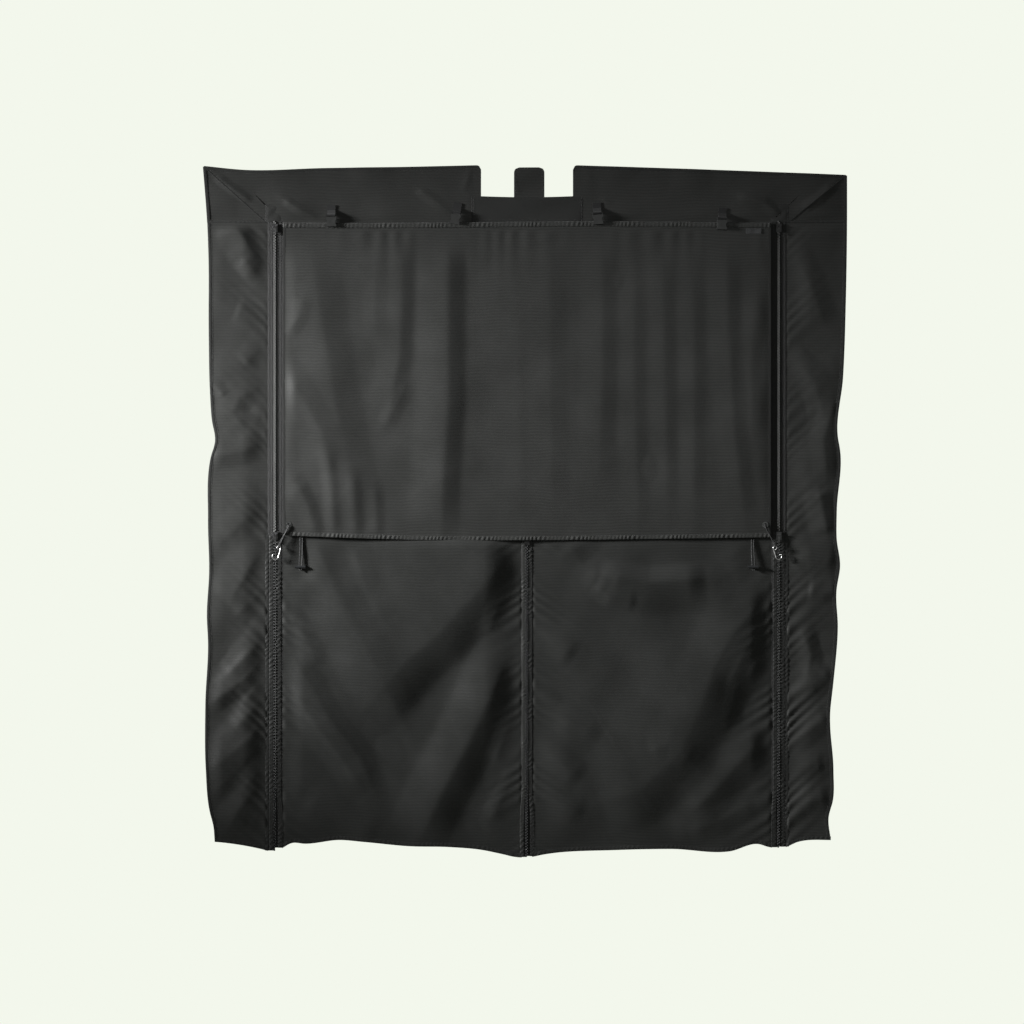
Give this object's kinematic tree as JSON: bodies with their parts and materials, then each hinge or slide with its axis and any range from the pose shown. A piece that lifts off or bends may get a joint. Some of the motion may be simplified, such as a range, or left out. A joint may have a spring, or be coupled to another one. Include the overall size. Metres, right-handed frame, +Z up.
{
  "type": "van rear door curtain with roll-up window cover",
  "caption": "Black cloth rear-door curtain for a van: zipped side wings, a roll-up window cover over an insect screen, and two roll-up door leaves.",
  "frame": {"origin": "on the flat back face of the header patch, midway between the side zips and 119 mm below the top edge", "axes": "+Z up along the hanging curtain, +X to the right as seen from outside the van, -Y towards the viewer"},
  "size_m": [1.738, 0.0202, 1.864],
  "materials": {
    "panel_cloth": "coated ribbed polyester, satin black",
    "cover_cloth": "ribbed polyester, charcoal",
    "door_cloth": "ribbed polyester, satin black",
    "screen_mesh": "fine knitted insect mesh",
    "zip_tape": "woven zip tape with moulded coil",
    "binding": "grosgrain binding",
    "webbing": "woven webbing",
    "buckle_plastic": "moulded acetal",
    "toggle_plastic": "moulded nylon",
    "zip_metal": "black and bright die-cast",
    "grommet_metal": "nickel-plated brass",
    "hook_wire": "bright steel wire",
    "magnet_metal": "nickel-plated magnet",
    "cord": "braided cord",
    "label_cloth": "woven label, blank"
  },
  "bodies": {
    "panel": {"header_left": "panel_cloth", "header_right": "panel_cloth", "centre_patch": "panel_cloth", "centre_tab": "panel_cloth", "corner_gussets": "panel_cloth", "wing_left": "panel_cloth", "wing_right": "panel_cloth", "window_screen": "screen_mesh", "zip_tape_left": "zip_tape", "zip_tape_right": "zip_tape", "zip_caps": "binding", "webbing_tabs": "webbing", "roll_straps": "webbing", "strap_plugs": "buckle_plastic", "magnets": "magnet_metal", "label": "label_cloth", "cover_1": "cover_cloth", "door_left_1": "door_cloth", "door_right_1": "door_cloth", "toggle_cord_left": "cord", "toggle_cord_right": "cord", "toggles": "toggle_plastic"},
    "cover_strip_2": {"cover_2": "cover_cloth"},
    "cover_strip_3": {"cover_3": "cover_cloth"},
    "cover_strip_4": {"cover_4": "cover_cloth"},
    "cover_strip_5": {"cover_5": "cover_cloth"},
    "cover_strip_6": {"cover_6": "cover_cloth"},
    "cover_strip_7": {"cover_7": "cover_cloth", "grommets": "grommet_metal", "elastic_loop_left": "cord", "elastic_loop_right": "cord", "corner_hooks": "hook_wire"},
    "door_left_strip_2": {"door_left_2": "door_cloth"},
    "door_left_strip_3": {"door_left_3": "door_cloth"},
    "door_left_strip_4": {"door_left_4": "door_cloth"},
    "door_left_strip_5": {"door_left_5": "door_cloth"},
    "door_left_strip_6": {"door_left_6": "door_cloth"},
    "door_left_strip_7": {"door_left_7": "door_cloth"},
    "door_right_strip_2": {"door_right_2": "door_cloth"},
    "door_right_strip_3": {"door_right_3": "door_cloth"},
    "door_right_strip_4": {"door_right_4": "door_cloth"},
    "door_right_strip_5": {"door_right_5": "door_cloth"},
    "door_right_strip_6": {"door_right_6": "door_cloth"},
    "door_right_strip_7": {"door_right_7": "door_cloth"},
    "buckle_body_1": {"buckle_1": "buckle_plastic"},
    "buckle_body_2": {"buckle_2": "buckle_plastic"},
    "buckle_body_3": {"buckle_3": "buckle_plastic"},
    "buckle_body_4": {"buckle_4": "buckle_plastic"},
    "zip_slider_upper_left": {"slider_upper_left": "zip_metal"},
    "zip_pull_upper_left": {"pull_upper_left": "zip_metal"},
    "zip_slider_upper_right": {"slider_upper_right": "zip_metal"},
    "zip_pull_upper_right": {"pull_upper_right": "zip_metal"},
    "zip_slider_lower_left": {"slider_lower_left": "zip_metal"},
    "zip_pull_lower_left": {"pull_lower_left": "zip_metal"},
    "zip_slider_lower_right": {"slider_lower_right": "zip_metal"},
    "zip_pull_lower_right": {"pull_lower_right": "zip_metal"},
    "zip_slider_centre": {"slider_centre": "zip_metal"},
    "zip_pull_centre": {"pull_centre": "zip_metal"}
  },
  "joints": [
    {"name": "cover_roll", "type": "hinge", "parent": "panel", "child": "cover_strip_2", "pos_m": [0, -0.008, -0.253], "axis": [-1, 0, 0], "range_deg": [0, 60]},
    {"name": "cover_roll_3", "type": "hinge", "parent": "cover_strip_2", "child": "cover_strip_3", "pos_m": [0, -0.008, -0.403], "axis": [-1, 0, 0], "range_deg": [0, 60]},
    {"name": "cover_roll_4", "type": "hinge", "parent": "cover_strip_3", "child": "cover_strip_4", "pos_m": [0, -0.008, -0.518], "axis": [-1, 0, 0], "range_deg": [0, 60]},
    {"name": "cover_roll_5", "type": "hinge", "parent": "cover_strip_4", "child": "cover_strip_5", "pos_m": [0, -0.008, -0.623], "axis": [-1, 0, 0], "range_deg": [0, 60]},
    {"name": "cover_roll_6", "type": "hinge", "parent": "cover_strip_5", "child": "cover_strip_6", "pos_m": [0, -0.008, -0.716], "axis": [-1, 0, 0], "range_deg": [0, 60]},
    {"name": "cover_roll_7", "type": "hinge", "parent": "cover_strip_6", "child": "cover_strip_7", "pos_m": [0, -0.008, -0.807], "axis": [-1, 0, 0], "range_deg": [0, 60]},
    {"name": "door_left_roll", "type": "hinge", "parent": "panel", "child": "door_left_strip_2", "pos_m": [-0.34, 0, -0.95], "axis": [1, 0, 0], "range_deg": [0, 60]},
    {"name": "door_left_roll_3", "type": "hinge", "parent": "door_left_strip_2", "child": "door_left_strip_3", "pos_m": [-0.34, 0, -1.094], "axis": [1, 0, 0], "range_deg": [0, 60]},
    {"name": "door_left_roll_4", "type": "hinge", "parent": "door_left_strip_3", "child": "door_left_strip_4", "pos_m": [-0.34, 0, -1.238], "axis": [1, 0, 0], "range_deg": [0, 60]},
    {"name": "door_left_roll_5", "type": "hinge", "parent": "door_left_strip_4", "child": "door_left_strip_5", "pos_m": [-0.34, 0, -1.368], "axis": [1, 0, 0], "range_deg": [0, 60]},
    {"name": "door_left_roll_6", "type": "hinge", "parent": "door_left_strip_5", "child": "door_left_strip_6", "pos_m": [-0.34, 0, -1.498], "axis": [1, 0, 0], "range_deg": [0, 60]},
    {"name": "door_left_roll_7", "type": "hinge", "parent": "door_left_strip_6", "child": "door_left_strip_7", "pos_m": [-0.34, 0, -1.614], "axis": [1, 0, 0], "range_deg": [0, 60]},
    {"name": "door_right_roll", "type": "hinge", "parent": "panel", "child": "door_right_strip_2", "pos_m": [0.34, 0, -0.95], "axis": [1, 0, 0], "range_deg": [0, 60]},
    {"name": "door_right_roll_3", "type": "hinge", "parent": "door_right_strip_2", "child": "door_right_strip_3", "pos_m": [0.34, 0, -1.094], "axis": [1, 0, 0], "range_deg": [0, 60]},
    {"name": "door_right_roll_4", "type": "hinge", "parent": "door_right_strip_3", "child": "door_right_strip_4", "pos_m": [0.34, 0, -1.238], "axis": [1, 0, 0], "range_deg": [0, 60]},
    {"name": "door_right_roll_5", "type": "hinge", "parent": "door_right_strip_4", "child": "door_right_strip_5", "pos_m": [0.34, 0, -1.368], "axis": [1, 0, 0], "range_deg": [0, 60]},
    {"name": "door_right_roll_6", "type": "hinge", "parent": "door_right_strip_5", "child": "door_right_strip_6", "pos_m": [0.34, 0, -1.498], "axis": [1, 0, 0], "range_deg": [0, 60]},
    {"name": "door_right_roll_7", "type": "hinge", "parent": "door_right_strip_6", "child": "door_right_strip_7", "pos_m": [0.34, 0, -1.614], "axis": [1, 0, 0], "range_deg": [0, 60]},
    {"name": "buckle_1_swing", "type": "hinge", "parent": "panel", "child": "buckle_body_1", "pos_m": [-0.528, -0.0126, -0.015], "axis": [-1, 0, 0], "range_deg": [0, 140]},
    {"name": "buckle_2_swing", "type": "hinge", "parent": "panel", "child": "buckle_body_2", "pos_m": [-0.19086, -0.0126, -0.00857], "axis": [-0.9848, 0, 0.1736], "range_deg": [0, 140]},
    {"name": "buckle_3_swing", "type": "hinge", "parent": "panel", "child": "buckle_body_3", "pos_m": [0.18995, -0.0126, -0.00893], "axis": [-0.9976, 0, -0.0698], "range_deg": [0, 140]},
    {"name": "buckle_4_swing", "type": "hinge", "parent": "panel", "child": "buckle_body_4", "pos_m": [0.52653, -0.0126, -0.02296], "axis": [-0.9986, 0, 0.0523], "range_deg": [0, 140]},
    {"name": "zip_upper_left", "type": "slide", "parent": "panel", "child": "zip_slider_upper_left", "axis": [0, 0, 1], "range_m": [-0.78, 0]},
    {"name": "pull_upper_left_swing", "type": "hinge", "parent": "zip_slider_upper_left", "child": "zip_pull_upper_left", "pos_m": [-0.68, -0.0079, -0.045], "axis": [1, 0, 0], "range_deg": [-150, 0]},
    {"name": "zip_upper_right", "type": "slide", "parent": "panel", "child": "zip_slider_upper_right", "axis": [0, 0, 1], "range_m": [-0.78, 0]},
    {"name": "pull_upper_right_swing", "type": "hinge", "parent": "zip_slider_upper_right", "child": "zip_pull_upper_right", "pos_m": [0.68, -0.0079, -0.045], "axis": [1, 0, 0], "range_deg": [-150, 0]},
    {"name": "zip_lower_left", "type": "slide", "parent": "panel", "child": "zip_slider_lower_left", "axis": [0, 0, 1], "range_m": [-0.8, 0]},
    {"name": "pull_lower_left_swing", "type": "hinge", "parent": "zip_slider_lower_left", "child": "zip_pull_lower_left", "pos_m": [-0.68, -0.0079, -0.876], "axis": [1, 0, 0], "range_deg": [-150, 0]},
    {"name": "zip_lower_right", "type": "slide", "parent": "panel", "child": "zip_slider_lower_right", "axis": [0, 0, 1], "range_m": [-0.8, 0]},
    {"name": "pull_lower_right_swing", "type": "hinge", "parent": "zip_slider_lower_right", "child": "zip_pull_lower_right", "pos_m": [0.68, -0.0079, -0.876], "axis": [1, 0, 0], "range_deg": [-150, 0]},
    {"name": "zip_centre", "type": "slide", "parent": "panel", "child": "zip_slider_centre", "axis": [0, 0, 1], "range_m": [-0.8, 0]},
    {"name": "pull_centre_swing", "type": "hinge", "parent": "zip_slider_centre", "child": "zip_pull_centre", "pos_m": [0, 0.0018, -0.89], "axis": [-1, 0, 0], "range_deg": [-150, 0]}
  ],
  "couplings": [
    {"joint": "cover_roll_3", "follows": "cover_roll", "ratio": 1},
    {"joint": "cover_roll_4", "follows": "cover_roll", "ratio": 1},
    {"joint": "cover_roll_5", "follows": "cover_roll", "ratio": 1},
    {"joint": "cover_roll_6", "follows": "cover_roll", "ratio": 1},
    {"joint": "cover_roll_7", "follows": "cover_roll", "ratio": 1},
    {"joint": "door_left_roll_3", "follows": "door_left_roll", "ratio": 1},
    {"joint": "door_left_roll_4", "follows": "door_left_roll", "ratio": 1},
    {"joint": "door_left_roll_5", "follows": "door_left_roll", "ratio": 1},
    {"joint": "door_left_roll_6", "follows": "door_left_roll", "ratio": 1},
    {"joint": "door_left_roll_7", "follows": "door_left_roll", "ratio": 1},
    {"joint": "door_right_roll_3", "follows": "door_right_roll", "ratio": 1},
    {"joint": "door_right_roll_4", "follows": "door_right_roll", "ratio": 1},
    {"joint": "door_right_roll_5", "follows": "door_right_roll", "ratio": 1},
    {"joint": "door_right_roll_6", "follows": "door_right_roll", "ratio": 1},
    {"joint": "door_right_roll_7", "follows": "door_right_roll", "ratio": 1}
  ]
}
